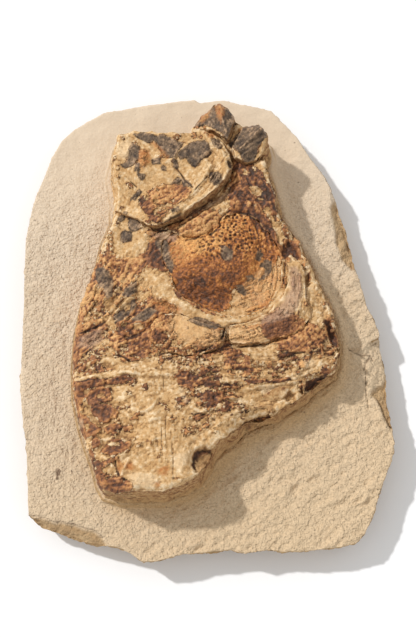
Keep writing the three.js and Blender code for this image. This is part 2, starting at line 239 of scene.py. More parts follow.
# Crisp patches of dark grey bone.
SLATE_PATCHES = [
    [134, 134, 141, 132, 150, 134, 155, 137, 152, 141, 147, 142, 142, 140, 137, 137],
    [153, 137, 162, 135, 173, 139, 183, 143, 181, 147, 177, 152, 175, 157, 169, 158, 162, 152],
    [177, 155, 186, 147, 195, 141, 204, 140, 209, 144, 211, 152, 207, 157, 202, 159, 195, 166, 190, 162,
     187, 157, 180, 158],
    [128, 156, 134, 144, 139, 146, 137, 158, 133, 165, 125, 167, 122, 164, 127, 161],
    [135, 163, 139, 163, 138, 171, 135, 170],
    [137, 172, 145, 174, 142, 179, 138, 177],
    [152, 158, 159, 157, 160, 163, 153, 164],
    [161, 166, 166, 167, 165, 170, 162, 169],
    [173, 159, 177, 160, 178, 167, 174, 166],
    [171, 182, 178, 177, 182, 178, 177, 183],
    [181, 177, 187, 180, 192, 186, 184, 185],
    [131, 198, 139, 188, 141, 191, 135, 199],
    [211, 172, 216, 171, 222, 174, 221, 182, 215, 184, 209, 179],
    [172, 211, 178, 207, 179, 210, 173, 213],
    [118, 219, 125, 210, 127, 212, 121, 221],
    [129, 217, 137, 218, 141, 224, 137, 230, 131, 230, 128, 224],
    [120, 240, 121, 233, 125, 229, 132, 233, 131, 239, 125, 241],
    [212, 139, 219, 139, 222, 146, 220, 148, 214, 146],
    [193, 125, 200, 118, 204, 112, 212, 108, 221, 104, 227, 107, 232, 112, 235, 117, 235, 123, 232, 131,
     229, 142, 226, 139, 222, 132, 215, 128, 206, 124],
    [230, 145, 237, 134, 247, 127, 257, 124, 265, 127, 268, 133, 262, 140, 257, 148, 255, 156, 251, 163,
     246, 161, 241, 154, 237, 149],
    [156, 240, 164, 238, 169, 246, 171, 256, 174, 266, 171, 271, 167, 266, 163, 257, 160, 250],
    [221, 246, 227, 246, 232, 251, 232, 257, 226, 260, 222, 256],
    [256, 258, 257, 251, 261, 250, 263, 254, 259, 260],
    [259, 280, 265, 273, 266, 268, 260, 266, 266, 259, 271, 261, 271, 270, 265, 278],
    [246, 276, 252, 275, 254, 278, 249, 280],
    [237, 286, 241, 285, 246, 291, 244, 295, 239, 291],
    [189, 319, 199, 317, 209, 321, 220, 326, 215, 328, 206, 326, 197, 324, 191, 321],
    [96, 269, 104, 267, 111, 275, 113, 284, 111, 296, 107, 299, 105, 290, 100, 287, 97, 281],
    [122, 295, 125, 289, 132, 284, 137, 280, 136, 290, 130, 296],
    [113, 320, 115, 315, 122, 310, 132, 300, 137, 305, 130, 312, 122, 320, 116, 322],
    [132, 320, 135, 316, 142, 312, 151, 307, 157, 311, 152, 315, 145, 320, 137, 321],
]
# Dark brown bone, and painted shadow in holes and under overhanging rims.
DARK_BONE_AND_SHADOW_PATCHES = [
    [137, 197, 149, 196, 154, 205, 153, 213, 158, 221, 150, 219, 144, 211, 138, 204],
    [176, 185, 184, 184, 190, 188, 186, 195, 178, 193],
    [231, 160, 238, 158, 243, 164, 252, 168, 262, 178, 270, 192, 276, 207, 279, 215, 272, 211, 262, 203,
     252, 199, 246, 198, 247, 190, 241, 186, 240, 176, 236, 170, 229, 166],
    [250, 208, 260, 211, 269, 221, 274, 229, 275, 237, 270, 245, 265, 242, 265, 233, 260, 226, 252, 218,
     244, 212, 236, 210, 240, 206],
    [220, 273, 230, 271, 239, 272, 240, 277, 232, 283, 222, 280],
    [148, 246, 156, 240, 161, 250, 165, 262, 168, 271, 160, 270, 152, 262],
    [173, 273, 186, 270, 200, 277, 215, 283, 228, 288, 231, 298, 226, 310, 215, 312, 200, 307, 186, 298,
     176, 286],
    [105, 255, 114, 256, 115, 261, 122, 264, 124, 270, 116, 271, 110, 265, 105, 261],
    [232, 190, 247, 190, 247, 198, 245, 205, 239, 200, 236, 195],
    [152, 331, 165, 335, 167, 340, 160, 340, 154, 337],
    [222, 338, 217, 344, 207, 350, 221, 350, 230, 345, 235, 344, 228, 341],
    [260, 326, 272, 320, 287, 316, 292, 319, 289, 329, 280, 335, 270, 341, 266, 337, 264, 331],
    [325, 319, 329, 316, 332, 324, 336, 332, 338, 340, 336, 344, 331, 342, 329, 337, 327, 329],
    [284, 242, 287, 238, 295, 242, 302, 253, 304, 260, 297, 257, 292, 251, 290, 258, 284, 258],
    [305, 276, 311, 276, 310, 286, 306, 283],
    [299, 386, 304, 381, 312, 379, 325, 374, 329, 375, 320, 382, 309, 390, 304, 390],
    [286, 393, 291, 391, 295, 395, 296, 399, 295, 402, 290, 401, 286, 397],
    [245, 379, 260, 379, 280, 379, 293, 376, 292, 380, 278, 383, 260, 383, 246, 382],
    # Painted shadows: under the lower rim, and in the upper left of the trunk's hollow.
    [242, 425, 250, 420, 260, 417, 270, 413, 268, 419, 257, 423, 247, 427],
    [193, 453, 201, 449, 210, 450, 209, 454, 202, 456, 199, 462, 195, 469, 191, 464],
]
# The scales that stand up in the lower left of the trunk.
SCALES = [
    [75, 382, 86, 379, 101, 378, 105, 379, 104, 384, 94, 387, 89, 397, 82, 402, 77, 403, 75, 393],
    [107, 380, 120, 375, 135, 377, 137, 380, 126, 382, 116, 385, 107, 384],
    [94, 389, 101, 387, 109, 388, 112, 393, 111, 400, 100, 403, 91, 407, 85, 400, 89, 395],
    [90, 409, 99, 404, 111, 404, 115, 409, 112, 417, 107, 423, 100, 422, 91, 413],
    [77, 418, 80, 414, 89, 417, 99, 427, 100, 430, 96, 435, 87, 438, 81, 430],
    [104, 429, 111, 424, 120, 422, 121, 427, 117, 433, 107, 434],
    [121, 428, 130, 424, 134, 428, 126, 430],
    [90, 442, 95, 437, 102, 439, 102, 445, 96, 449, 92, 448],
    [104, 448, 111, 440, 122, 438, 131, 443, 130, 449, 124, 453, 117, 454, 107, 454, 100, 453],
]
# Middle brown bone, and a painted shadow under a lump of the trunk.
BROWN_BONE_AND_SHADOW_PATCHES = [
    [140, 383, 147, 382, 150, 387, 145, 392, 141, 389],
    [170, 184, 185, 184, 188, 190, 181, 197, 173, 193],
    [160, 188, 167, 185, 168, 196, 162, 197],
    [178, 192, 188, 190, 186, 198, 178, 199],
    [129, 146, 133, 143, 133, 148, 128, 151],
    [118, 206, 122, 200, 124, 206, 121, 212],
    [126, 178, 134, 184, 132, 188, 125, 183],
    [279, 353, 312, 351, 308, 358, 294, 361, 280, 360],
    [266, 366, 292, 366, 293, 370, 268, 370],
    [223, 346, 240, 350, 250, 358, 248, 368, 236, 370, 223, 362],
    [196, 372, 214, 368, 226, 374, 218, 384, 202, 384],
    [198, 392, 212, 390, 222, 398, 214, 408, 202, 404],
    [126, 391, 131, 391, 132, 396, 127, 396],
    [124, 405, 134, 405, 133, 408, 125, 408],
    # A painted shadow under a lump.
    [130, 412, 140, 412, 138, 419, 131, 420],
    [173, 374, 186, 372, 198, 376, 200, 384, 192, 389, 182, 386, 174, 380],
    [174, 398, 184, 395, 191, 400, 185, 405, 177, 404],
    [224, 382, 236, 383, 240, 388, 228, 388],
    [225, 400, 238, 402, 240, 408, 228, 410],
    [190, 412, 200, 411, 206, 416, 196, 420],
    [110, 362, 118, 362, 122, 366, 114, 367],
    [147, 363, 156, 364, 157, 369, 149, 369],
    [158, 402, 168, 403, 170, 412, 160, 411],
    [96, 480, 101, 488, 112, 490, 120, 490, 135, 487, 130, 480, 120, 477, 112, 478],
    [98, 262, 102, 266, 96, 286, 88, 306, 81, 326, 78, 350, 77, 368, 71, 368, 71, 345, 75, 322, 82, 302, 91,
     280],
    [71, 382, 77, 382, 79, 400, 81, 416, 86, 436, 94, 452, 102, 470, 106, 484, 100, 488, 92, 470, 84, 452,
     77, 436, 72, 410],
]
# Pale matrix.
CREAM_PATCHES = [
    [142, 266, 157, 271, 169, 274, 170, 282, 169, 292, 178, 301, 189, 309, 177, 304, 164, 297, 156, 291,
     150, 283, 142, 275],
    [176, 293, 190, 305, 205, 314, 220, 319, 238, 320, 252, 317, 266, 308, 278, 297, 286, 284, 289, 288,
     284, 300, 272, 312, 256, 321, 238, 325, 220, 324, 204, 319, 190, 312],
    [203, 134, 212, 138, 219, 146, 228, 157, 229, 167, 228, 178, 215, 190, 198, 203, 182, 214, 168, 222,
     160, 220, 178, 208, 196, 194, 210, 178, 217, 168, 212, 156, 209, 146],
    [204, 124, 213, 128, 221, 134, 226, 142, 232, 149, 238, 154, 232, 154, 224, 148, 217, 138],
    [112, 228, 120, 226, 122, 232, 119, 246, 128, 250, 142, 244, 146, 234, 152, 236, 146, 248, 136, 256,
     122, 258, 113, 250],
    [269, 213, 275, 218, 281, 228, 285, 237, 284, 246, 279, 243, 275, 231, 270, 221],
    [268, 136, 269, 148, 267, 166, 272, 184, 262, 172, 254, 163, 257, 153, 262, 141],
    [235, 117, 244, 123, 247, 125, 240, 129, 232, 138, 230, 142, 232, 131],
    [75, 378, 95, 374, 114, 371, 132, 369, 150, 370, 170, 368, 198, 367, 170, 372, 150, 374, 132, 373, 114,
     376, 95, 378, 76, 381],
    [129, 475, 140, 474, 157, 474, 160, 478, 157, 488, 140, 487, 132, 481],
    [172, 455, 182, 453, 187, 454, 186, 465, 180, 472, 175, 475, 172, 465],
    [311, 359, 324, 357, 327, 362, 321, 370, 312, 372, 310, 365],
    [302, 307, 320, 306, 327, 315, 325, 330, 315, 324, 306, 321, 300, 315],
    [290, 262, 300, 262, 307, 272, 312, 290, 318, 302, 308, 304, 303, 292, 301, 276, 296, 266],
    [237, 347, 255, 348, 272, 344, 280, 342, 275, 350, 260, 351, 247, 351],
    [245, 386, 262, 385, 284, 385, 300, 392, 296, 402, 284, 404, 276, 398, 258, 394, 246, 392],
    [225, 420, 240, 414, 236, 428, 228, 436, 222, 430],
    [103, 357, 118, 359, 130, 363, 128, 368, 112, 367, 103, 363],
    [132, 362, 150, 357, 160, 364, 150, 369, 136, 368],
    [165, 360, 176, 365, 178, 372, 168, 372, 162, 366],
    [150, 377, 162, 376, 176, 380, 179, 396, 170, 400, 160, 396, 152, 392],
    [115, 386, 128, 383, 130, 389, 118, 391],
    [126, 397, 140, 391, 155, 393, 157, 404, 142, 409, 130, 404],
    [144, 403, 157, 401, 166, 412, 164, 420, 150, 420, 142, 412],
    [196, 371, 208, 369, 232, 374, 240, 382, 232, 385, 214, 380, 198, 378],
    [120, 462, 123, 471, 127, 463, 129, 466, 126, 478, 121, 476, 117, 464],
]
# Flecks of pale matrix in the bone.
FLECKS = [
    [249, 185, 255, 184, 263, 189, 261, 195, 251, 194],
    [255, 196, 265, 197, 261, 201],
    [104, 299, 110, 298, 117, 309, 112, 313, 106, 308],
    [122, 308, 124, 304, 130, 303, 132, 309, 126, 312],
    [125, 298, 131, 297, 132, 303, 126, 303],
    [103, 316, 110, 316, 108, 325, 104, 323],
    [111, 318, 116, 319, 115, 327, 110, 325],
    [94, 343, 100, 341, 102, 347, 94, 348],
    [101, 340, 110, 340, 106, 345],
    [141, 296, 147, 291, 149, 295, 143, 301],
    [133, 325, 143, 323, 145, 327, 136, 329],
    [92, 288, 97, 284, 99, 291, 94, 296],
    [120, 279, 124, 275, 127, 281, 122, 285],
    [244, 168, 250, 171, 248, 176, 243, 174],
    [266, 206, 271, 209, 270, 215, 265, 211],
    [84, 316, 89, 313, 90, 319, 85, 322],
    [212, 355, 222, 354, 225, 359, 215, 361],
    [236, 358, 243, 357, 245, 362, 238, 363],
    [296, 353, 306, 351, 309, 355, 299, 357],
    [84, 390, 90, 388, 89, 393, 84, 395],
    [92, 417, 98, 419, 96, 423, 91, 421],
    [84, 425, 88, 423, 90, 429, 86, 431],
    [108, 443, 117, 441, 119, 444, 110, 447],
    [97, 394, 104, 392, 106, 396, 99, 398],
]
# The whitest matrix, the scraper's fresh marks, and a painted highlight on a scale.
CHALK_AND_HIGHLIGHT_PATCHES = [
    [116, 150, 120, 142, 128, 139, 134, 143, 133, 150, 127, 158, 119, 157],
    [128, 474, 140, 472, 156, 475, 158, 485, 145, 488, 133, 484],
    [172, 455, 184, 452, 188, 456, 186, 464, 179, 470, 173, 466],
    [180, 386, 184, 388, 183, 394, 186, 396, 188, 403, 185, 402, 182, 396, 179, 393],
    [303, 361, 311, 359, 316, 361, 312, 366, 305, 367],
    [258, 386, 270, 386, 285, 388, 280, 396, 264, 394],
    # A painted highlight on a glossy scale.
    [80, 419, 82, 419, 84, 428, 81, 427],
]
# Clear ochre bone.
OCHRE_PATCHES = [
    [146, 190, 157, 185, 170, 184, 184, 183, 193, 189, 188, 199, 174, 204, 161, 200, 150, 197],
    [140, 148, 146, 150, 148, 160, 144, 168, 138, 166, 137, 156],
    [146, 209, 152, 212, 158, 219, 164, 218, 160, 222, 152, 221],
    [230, 168, 237, 172, 241, 179, 240, 187, 235, 185, 230, 179],
    [229, 198, 237, 198, 239, 203, 232, 205],
    [190, 233, 196, 223, 205, 216, 217, 211, 222, 213, 220, 221, 212, 230, 202, 234, 194, 236],
    [124, 258, 134, 256, 146, 257, 145, 272, 126, 272],
    [270, 243, 279, 246, 281, 255, 272, 255],
    [112, 272, 124, 273, 136, 276, 132, 282, 122, 286, 114, 284],
    [140, 284, 148, 286, 154, 294, 152, 303, 144, 300, 139, 292],
    [148, 318, 160, 314, 167, 318, 166, 328, 154, 330, 148, 325],
    [84, 288, 94, 286, 97, 294, 90, 306, 82, 304],
    [281, 341, 287, 336, 299, 331, 306, 324, 316, 325, 325, 332, 324, 339, 312, 349, 300, 351, 287, 350,
     281, 346],
]
# Smooth bone of a deep cream.
TAN_PATCHES = [
    [246, 282, 258, 270, 272, 263, 281, 267, 281, 283, 274, 294, 262, 304, 250, 310, 238, 311, 234, 304,
     236, 296],
    [168, 318, 180, 312, 189, 322, 206, 328, 222, 330, 222, 338, 214, 344, 204, 346, 190, 343, 176, 339,
     167, 330],
    [229, 330, 239, 327, 255, 329, 260, 332, 265, 339, 260, 342, 245, 344, 230, 341],
    [198, 457, 203, 454, 211, 454, 209, 460, 206, 466, 200, 472, 196, 468],
]
# Rust-red stains.
RUST_PATCHES = [
    [140, 151, 149, 150, 151, 158, 147, 166, 141, 167, 139, 160],
    [155, 297, 165, 299, 174, 304, 172, 312, 162, 312, 155, 307, 151, 302],
    [174, 306, 181, 306, 182, 310, 176, 311],
    [206, 131, 214, 134, 213, 138, 208, 136],
    [125, 463, 130, 460, 135, 467, 132, 470, 125, 468],
    [116, 461, 120, 458, 124, 465, 120, 475, 116, 468],
    [157, 470, 162, 467, 168, 465, 169, 469, 166, 475, 160, 475],
    [154, 482, 160, 481, 159, 487, 155, 487],
    [215, 442, 224, 443, 225, 448, 220, 454, 216, 450],
    [169, 243, 182, 243, 184, 256, 181, 261, 174, 262, 170, 255],
    [198, 121, 203, 112, 211, 109, 209, 116, 202, 122],
    [216, 105, 224, 104, 224, 112, 221, 122, 216, 114],
    [151, 142, 154, 141, 168, 156, 168, 160, 162, 155],
]
# The purple-brown sheen of the shoulder and its neighbours.
MAUVE_PATCHES = [
    [290, 266, 297, 266, 301, 273, 302, 293, 299, 306, 290, 316, 275, 321, 261, 323, 261, 318, 275, 311,
     285, 298, 290, 288],
    [184, 217, 190, 212, 203, 206, 214, 200, 222, 195, 231, 188, 230, 193, 220, 201, 206, 208, 192, 214],
    [150, 233, 165, 232, 175, 231, 178, 237, 175, 241, 165, 240, 156, 238],
    [80, 337, 102, 327, 102, 340, 92, 348, 78, 346],
]
# The groups that are only painted, by the name of their mark.
PAINTED = {"rust": RUST_PATCHES, "mauve": MAUVE_PATCHES, "tan": TAN_PATCHES, "chalk_and_highlight": CHALK_AND_HIGHLIGHT_PATCHES}
# What each group of patches does to the bone's cover and to its darkness.
SHIFTS = [
    [CREAM_PATCHES, -0.5, 0.0],
    [OCHRE_PATCHES, 0.5, -0.15],
    [BROWN_BONE_AND_SHADOW_PATCHES, 0.4, 0.12],
    [SCALES, 0.7, 0.22],
    [DARK_BONE_AND_SHADOW_PATCHES, 0.5, 0.2],
    [SLATE_PATCHES, 0.7, 0.2],
    [FLECKS, -1.0, -0.3],
]

# The way the grain runs: [x, y, angle in degrees from the right, how strongly].
FLOW = [
    [215, 175, 60, 1], [195, 205, 38, 1], [165, 222, 30, 1], [262, 180, -55, 1], [275, 215, -75, 0.8],
    [150, 150, -20, 0.4], [120, 165, 80, 0.5], [185, 160, -40, 0.4], [195, 228, 30, 0.6], [225, 245, 0, 0],
    [120, 240, 70, 0.3], [100, 280, 65, 0.7], [130, 300, 50, 1], [150, 312, 20, 0.9], [95, 330, 40, 0.8],
    [120, 345, 15, 0.8], [160, 335, 60, 0.5], [200, 300, -30, 0.4], [255, 320, 20, 0.8],
    [295, 285, 80, 0.9], [235, 352, 10, 0.9], [270, 365, 5, 1], [300, 370, 15, 1], [250, 385, -5, 1],
    [270, 405, 25, 0.7], [120, 372, 6, 0.7], [170, 370, 0, 0.6], [95, 395, 25, 0.5], [95, 430, 20, 0.5],
    [130, 405, 25, 0.6], [165, 420, 88, 0.4], [170, 460, 88, 0.5], [200, 400, 30, 0.7], [210, 430, 35, 0.7],
    [120, 450, 30, 0.6], [140, 480, 5, 0.8], [190, 460, 60, 0.6], [318, 350, 40, 0.6], [215, 120, 75, 0.8],
    [250, 145, 40, 0.8],
]
FLOW_REACH = 16  # pixels

# Open cracks and shadowed undercuts, cut into the relief and painted dark, partly as painted shadow: [half
# width in pixels, depth in mm, line].
CRACKS = [
    [1, 0.9, [78, 382, 88, 380, 106, 378]],
    [1.2, 0.9, [144, 371, 153, 373]],
    [1, 0.8, [86, 353, 93, 347, 98, 345]],
    [1, 0.9, [115, 460, 116, 468, 119, 477, 127, 480]],
    [1.2, 0.9, [224, 384, 236, 386]],
    [1.2, 0.8, [192, 414, 201, 413, 210, 416, 215, 420]],
    [1, 0.7, [142, 415, 150, 414]],
    [1, 0.7, [283, 352, 298, 353, 318, 351]],
    [1.3, 1.6, [178, 236, 187, 239, 196, 237, 207, 235, 214, 231, 220, 225, 221, 218, 225, 213, 230, 211,
     240, 212, 250, 214]],
    [0.9, 0.8, [175, 161, 177, 168, 182, 174, 185, 180, 192, 186]],
    [2.2, 2.2, [229, 160, 230, 172, 225, 182, 219, 188]],
    [1.4, 1.8, [219, 188, 207, 198, 196, 205, 186, 210, 175, 216, 162, 223]],
    [0.8, 0.6, [207, 176, 200, 184, 190, 196, 178, 204]],
    [0.9, 0.7, [122, 173, 128, 178, 136, 186]],
    [1.6, 1.8, [224, 328, 223, 336, 215, 343, 205, 349, 194, 352]],
    [1.5, 1.6, [239, 346, 252, 345, 265, 343, 272, 340, 281, 335]],
    [1.2, 1, [285, 262, 285, 272, 284, 283]],
    [1.3, 1.1, [78, 334, 86, 330, 99, 325, 105, 321]],
    [1, 0.8, [134, 319, 124, 327]],
    [1.3, 1.3, [118, 355, 124, 357, 130, 361]],
    [1.2, 1, [104, 240, 100, 254, 97, 268]],
    [1, 0.8, [150, 236, 160, 230, 170, 229, 178, 231, 178, 237]],
    [1.2, 1.2, [229, 426, 236, 431, 234, 438]],
]
# Unbroken lines: the shadowed lip of the trunk's hollow, and the scraper's scratches above it.
SCRATCHES = [
    [2.2, 1.5, [194, 468, 193, 460, 197, 453, 203, 450, 210, 451]],
    [0.8, 0.5, [163, 379, 164, 391]],
    [0.7, 0.5, [166, 415, 165, 428, 166, 445]],
    [0.8, 0.6, [172, 414, 171, 436, 173, 462, 172, 484]],
    [0.7, 0.4, [156, 436, 157, 446]],
    [0.7, 0.4, [161, 425, 162, 455]],
]

# Ledges: [height in mm, fall-off in pixels, line]. The surface is raised on the line's left.
LEDGES = [
    [1.3, 5, [118, 405, 130, 404, 137, 398]],
    [1.8, 7, [128, 412, 141, 410, 150, 408, 156, 402, 157, 396]],
    [1.2, 6, [142, 421, 152, 420, 164, 420]],
    [1.6, 6, [96, 453, 108, 458, 118, 456, 131, 450]],
    [1.6, 5, [75, 398, 83, 402, 94, 403]],
    [1.2, 5, [86, 437, 92, 433, 104, 424]],
    [1.4, 5, [86, 380, 105, 377, 122, 376]],
    [1.3, 5, [190, 402, 200, 401, 212, 397]],
    [1.2, 5, [264, 370, 276, 370, 290, 367]],
    [1.4, 5, [283, 351, 300, 352, 322, 350]],
    [1.3, 6, [148, 441, 158, 439, 168, 438]],
    [2.2, 10, [165, 217, 177, 208, 188, 198, 198, 186, 207, 172, 211, 157]],
    [1.3, 5, [163, 161, 160, 152, 152, 142]],
    [1.3, 5, [115, 315, 124, 303, 137, 285]],
    [1.2, 5, [124, 328, 134, 322, 146, 321, 158, 313]],
    [1.2, 5, [104, 302, 109, 292, 111, 280]],
    [1.2, 5, [117, 151, 127, 151, 134, 143]],
    [1.5, 5, [240, 366, 256, 363, 278, 364, 300, 361]],
    [1.5, 5, [240, 386, 258, 385, 280, 385, 300, 380]],
    [1.2, 5, [196, 374, 212, 381, 228, 382, 238, 388]],
    [1.2, 6, [186, 404, 200, 410, 214, 408, 230, 403]],
    [1, 5, [80, 366, 96, 361, 114, 359, 128, 362]],
    [1, 5, [110, 344, 124, 336, 134, 331, 146, 322]],
]
LEDGE_FACE = 2.5  # reach in pixels of a ledge's steep side
LEDGE_ENDS = 8  # pixels over which a ledge dies out

# Bumps and hollows: [x, y, reach across, reach down, turn in degrees, height in mm].
MOUNDS = [
    [196, 150, 14, 9, -10, 1.6], [167, 146, 14, 7, 25, 1.2], [145, 158, 6, 9, 0, 1.2],
    [128, 150, 8, 12, 0, 1], [150, 172, 14, 6, -20, 0.8], [165, 193, 22, 10, -15, -0.9],
    [152, 210, 6, 12, -20, 1], [185, 172, 12, 5, 40, -0.8], [122, 398, 8, 5, -15, 1.3],
    [144, 400, 12, 6, -20, 1.8], [154, 412, 10, 7, -20, 1.1], [196, 395, 10, 5, 10, -0.9],
    [240, 424, 16, 9, -30, -3.5], [196, 448, 10, 4, -40, 1.6], [184, 462, 7, 16, 15, 1.6],
    [150, 480, 26, 7, 5, 1], [115, 486, 16, 5, 5, 0.8], [290, 250, 8, 12, -30, -2.2],
    [332, 334, 5, 12, -15, -2.5], [311, 384, 10, 6, -30, -2], [258, 419, 14, 5, -20, -2.5],
    [291, 395, 6, 5, 0, -1.4], [241, 176, 7, 9, 0, 0.8], [203, 222, 20, 7, -32, 0.9],
    [205, 205, 28, 4, -35, -0.9], [226, 253, 5, 6, 0, -0.8], [260, 255, 3, 6, 25, -0.6],
    [133, 225, 9, 8, 0, -1.4], [123, 237, 5, 9, 0, -1], [145, 238, 7, 12, 30, 0.8],
    [155, 280, 14, 8, 30, 1.2], [245, 345, 10, 4, -5, 0.9], [300, 338, 18, 7, -15, 1],
    [312, 312, 10, 12, 0, 0.8], [318, 362, 14, 8, -20, 0.8], [226, 356, 12, 9, 0, -0.9],
    [160, 330, 10, 14, 0, 0.6], [105, 275, 8, 12, 10, 0.9], [120, 262, 14, 8, 0, 0.7],
    [85, 428, 6, 8, 0, 0.8],
]

# Raised lines: [height in mm, half width in pixels, line].
RIDGE_LINES = [
    [1.1, 2, [73, 381, 87, 377, 103, 374, 117, 373, 127, 371, 141, 374, 153, 372, 170, 374]],
    [1.2, 3, [101, 484, 112, 480, 122, 479, 130, 483, 136, 487]],
    [1, 2, [86, 400, 90, 393, 97, 388, 107, 387]],
    [1, 2, [134, 134, 138, 140, 145, 143, 151, 147]],
    [1, 2, [165, 161, 173, 159, 178, 152, 186, 146]],
    [0.9, 2, [104, 439, 120, 438, 132, 444]],
    [1, 1.5, [121, 477, 123, 470, 127, 462]],
    [1.3, 4, [176, 300, 190, 307, 204, 315, 222, 320, 240, 320, 258, 316, 272, 306, 284, 293]],
    [1.4, 3, [206, 136, 216, 144, 226, 158, 228, 170, 222, 183, 204, 196, 186, 208, 168, 220]],
    [1, 2, [206, 126, 216, 132, 224, 142, 232, 150]],
    [1.4, 2, [221, 106, 222, 118, 226, 132, 228, 144]],
    [1.3, 2, [263, 128, 254, 136, 246, 143, 239, 150]],
    [0.9, 2, [180, 228, 198, 216, 216, 206, 230, 200]],
    [0.7, 2, [186, 218, 200, 209, 216, 200]],
    [0.9, 2, [264, 138, 262, 152, 264, 170]],
]

# Steep-sided hollows: [depth in mm, width of the sides in pixels, outline].
HOLES = [
    [3.2, 1.8, [196, 449, 205, 446, 211, 449, 212, 457, 208, 466, 203, 472, 195, 473, 191, 465, 192, 456]],
    [4, 3, [299, 391, 306, 381, 314, 377, 326, 374, 322, 381, 312, 388, 303, 394]],
    [3, 2.5, [284, 394, 290, 390, 297, 392, 297, 399, 290, 403, 285, 400]],
    [3.5, 3, [243, 427, 249, 419, 260, 414, 275, 411, 268, 419, 256, 425]],
    [2.5, 2.5, [324, 318, 330, 321, 337, 334, 339, 346, 334, 345, 328, 333]],
    [2.5, 2.5, [282, 245, 289, 240, 297, 248, 301, 258, 296, 260, 290, 251, 287, 260, 282, 255]],
    [2, 2, [303, 274, 310, 271, 312, 284, 306, 287]],
]

# Broken faces along the slab's edge.
SLAB_CHIPS = [
    [330, 207, 334, 200, 340, 205, 343, 217, 353, 236, 358, 250, 358, 270, 350, 269, 342, 260, 337, 247,
     335, 230, 331, 217],
    [380, 338, 386, 338, 392, 366, 384, 368, 381, 354],
    [369, 395, 373, 390, 382, 385, 385, 375, 392, 376, 398, 412, 398, 430, 390, 430, 384, 417, 376, 401],
    [26, 516, 40, 518, 53, 523, 60, 521, 70, 524, 82, 528, 93, 530, 102, 537, 107, 545, 104, 554, 80, 552,
     50, 542, 26, 526],
]
# A dark stain on the slab, and its open seams and the upper edges of its chips, painted dark, partly as
# painted shadow: [half width in pixels, line].
SLAB_STAINS = [
    [55, 471, 58, 469, 61, 472, 59, 476, 58, 481, 56, 479, 56, 475],
]
SLAB_CREASES = [
    [1.2, [347, 347, 353, 352, 362, 356, 370, 356, 372, 361]],
    [1, [372, 346, 377, 343]],
    [1.5, [370, 356, 366, 362, 364, 370]],
    [1, [365, 372, 365, 390, 369, 410]],
    [1, [376, 398, 384, 412, 390, 427]],
    [1.2, [30, 515, 44, 518, 54, 522, 60, 520, 70, 523, 82, 527, 93, 529, 103, 537]],
]

# Lengths in mm of the relief.
SUNK = 1.4  # how far the fish's relief starts below the guide, to stay inside the CAD's height
SCALE_HEIGHT = 1.0
HOLLOW_DEPTH = 0.35  # of what counts as fully hollow, where dirt gathers and shade is painted
PIT_SPACING = 2.3  # between the pits of the gill cover
PIT_DEPTH = 0.9
LIP_REACH = 1.6  # half the width of the worn rim of the fish's top
FOOT_REACH = 8.0  # of the warm painted shade on the stone round the fish
FOOT_SHIFT = 5.0  # how far that painted shade lies towards the fish's shadow


# -------- the CAD surface as a guide
GRID = 0.7  # spacing of the guide's rays in mm
GUIDE_LOW = np.array([-114.0, -146.0])
GUIDE_SIZE = (int(228 / GRID), int(292 / GRID))
RAY_START = 200  # a height above everything
TOP_SLOPE = 0.6  # a face whose normal goes up more than this counts as a top


def numbers(items, name, width, kind=float):
    """One property of all of a mesh's items, as an array with width columns."""
    array = np.empty(len(items) * width, kind)
    items.foreach_get(name, array)
    return array.reshape(-1, width)


def cast_guide():
    """For each fish node, a grid of its top's heights where it shows from above, and NaN elsewhere.

    The second value returned is a grid of 1 over the whole fish, walls and all, and 0 elsewhere.
    """
    points, faces, owners = [], [], []
    for node in [*FISH_PIECES, "matrix_slab"]:
        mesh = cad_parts[node].data
        start = len(points)
        points.extend((numbers(mesh.vertices, "co", 3) / MM).tolist())
        faces.extend(tuple(start + v for v in face.vertices) for face in mesh.polygons)
        owners.extend([node] * len(mesh.polygons))
    tree = BVHTree.FromPolygons(points, faces)
    heights = {node: np.full(GUIDE_SIZE, np.nan) for node in FISH_PIECES}
    covered = np.zeros(GUIDE_SIZE)
    for i, j in np.ndindex(*GUIDE_SIZE):
        x, y = GUIDE_LOW + GRID * np.array([i, j])
        place, normal, face, _ = tree.ray_cast(Vector((x, y, RAY_START)), Vector((0, 0, -1)))
        if place is not None and owners[face] in heights:
            covered[i, j] = 1
            if normal.z > TOP_SLOPE:
                heights[owners[face]][i, j] = place.z
    return heights, covered


def blur(grid, reach):
    """A grid smoothed over reach mm where it is known, and spread a little beyond."""
    radius = int(3 * reach / GRID)
    kernel = np.exp(-0.5 * (np.arange(-radius, radius + 1) * GRID / reach) ** 2)
    known = ~np.isnan(grid)

    def spread(a):
        for axis in (0, 1):
            a = np.apply_along_axis(np.convolve, axis, a, kernel, "same")
        return a

    weight = spread(known.astype(float))
    return np.where(weight > 1e-3, spread(np.where(known, grid, 0)) / np.maximum(weight, 1e-3), np.nan)


def look_up(grid, co):
    """A grid's value at each point's x and y, between its four nearest places."""
    place = np.clip((co[:, :2] - GUIDE_LOW) / GRID, 0, np.array(GUIDE_SIZE) - 1.001)
    i, j = np.floor(place).astype(int).T
    u, v = (place - np.floor(place)).T
    low = grid[i, j] * (1 - u) + grid[i + 1, j] * u
    high = grid[i, j + 1] * (1 - u) + grid[i + 1, j + 1] * u
    return low * (1 - v) + high * v


# -------- dense meshes
RELAX_SHARE = 0.5  # how far a point goes towards the middle of its neighbours in one round
RELAX_ROUNDS = 8
RELAX_BACK = 1.06  # how far it is pushed back again, against shrinking


